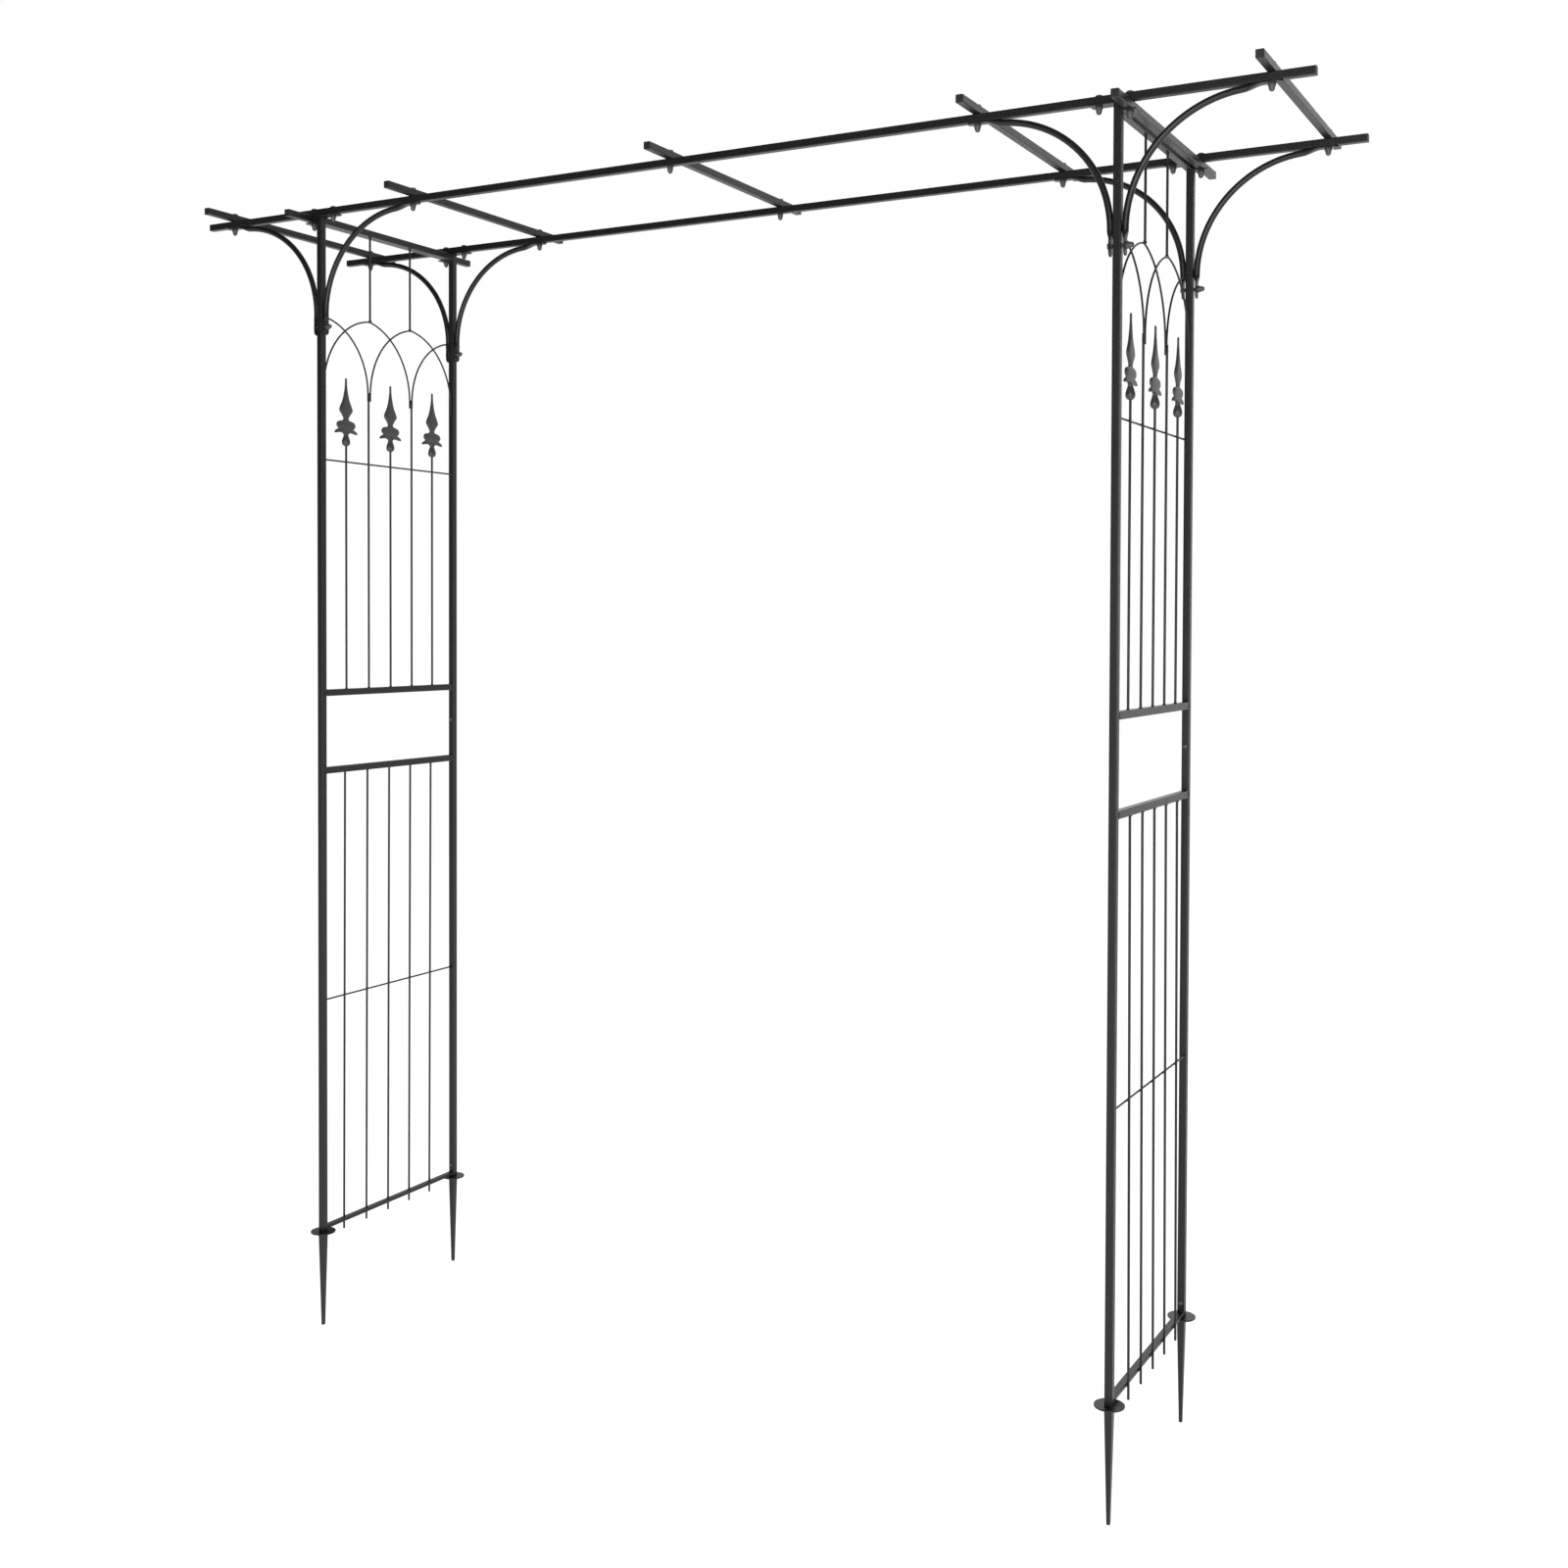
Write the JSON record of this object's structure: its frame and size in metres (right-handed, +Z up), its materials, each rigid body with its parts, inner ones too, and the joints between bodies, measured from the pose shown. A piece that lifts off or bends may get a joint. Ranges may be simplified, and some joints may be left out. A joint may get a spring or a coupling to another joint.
{
  "type": "garden arch",
  "caption": "Metal garden arch with lattice side panels, interlaced pointed wire arches, spearheads, curved braces and a slatted top, standing on ground spikes",
  "frame": {"origin": "the middle of the footprint, level with the tips of the ground spikes; the ground is at the undersides of the foot discs, 0.173 m up", "axes": "+X along the top rails from the left panel to the right one, +Y from the front rail to the rear rail, +Z up"},
  "size_m": [2.055, 0.519, 2.0743],
  "materials": {
    "powder_coat": "black satin powder coat over steel tube, rod, wire and plate, with a fine orange peel",
    "coated_casting": "black satin powder coat over cast spearheads, slightly rougher than the tube",
    "blackened_steel": "black coated M6 bolts, cap nuts and short screws with a low sheen",
    "black_plastic": "black moulded end plugs"
  },
  "bodies": {
    "root": {"brace_bolts": "blackened_steel", "bracket_bolts": "blackened_steel", "cap_nuts": "blackened_steel", "centre_crossbeam": "powder_coat", "crossbeam_bolts": "blackened_steel", "far_left_crossbeam": "powder_coat", "far_right_crossbeam": "powder_coat", "front_left_rail": "powder_coat", "front_right_rail": "powder_coat", "ground_discs": "powder_coat", "ground_spikes": "powder_coat", "inner_left_crossbeam": "powder_coat", "inner_right_crossbeam": "powder_coat", "joint_screws": "blackened_steel", "left_bottom_bar": "powder_coat", "left_front_inner_brace": "powder_coat", "left_front_lower_post": "powder_coat", "left_front_outer_brace": "powder_coat", "left_front_upper_post": "powder_coat", "left_gothic_arches": "powder_coat", "left_hanger_rods": "powder_coat", "left_lower_mid_bar": "powder_coat", "left_lower_rods": "powder_coat", "left_post_beam": "powder_coat", "left_rear_inner_brace": "powder_coat", "left_rear_lower_post": "powder_coat", "left_rear_outer_brace": "powder_coat", "left_rear_upper_post": "powder_coat", "left_spearheads": "coated_casting", "left_tie_wires": "powder_coat", "left_top_bar": "powder_coat", "left_upper_mid_bar": "powder_coat", "left_upper_rods": "powder_coat", "post_top_brackets": "powder_coat", "rear_left_rail": "powder_coat", "rear_right_rail": "powder_coat", "right_bottom_bar": "powder_coat", "right_front_inner_brace": "powder_coat", "right_front_lower_post": "powder_coat", "right_front_outer_brace": "powder_coat", "right_front_upper_post": "powder_coat", "right_gothic_arches": "powder_coat", "right_hanger_rods": "powder_coat", "right_lower_mid_bar": "powder_coat", "right_lower_rods": "powder_coat", "right_post_beam": "powder_coat", "right_rear_inner_brace": "powder_coat", "right_rear_lower_post": "powder_coat", "right_rear_outer_brace": "powder_coat", "right_rear_upper_post": "powder_coat", "right_spearheads": "coated_casting", "right_tie_wires": "powder_coat", "right_top_bar": "powder_coat", "right_upper_mid_bar": "powder_coat", "right_upper_rods": "powder_coat", "tube_end_caps": "black_plastic"}
  },
  "joints": []
}
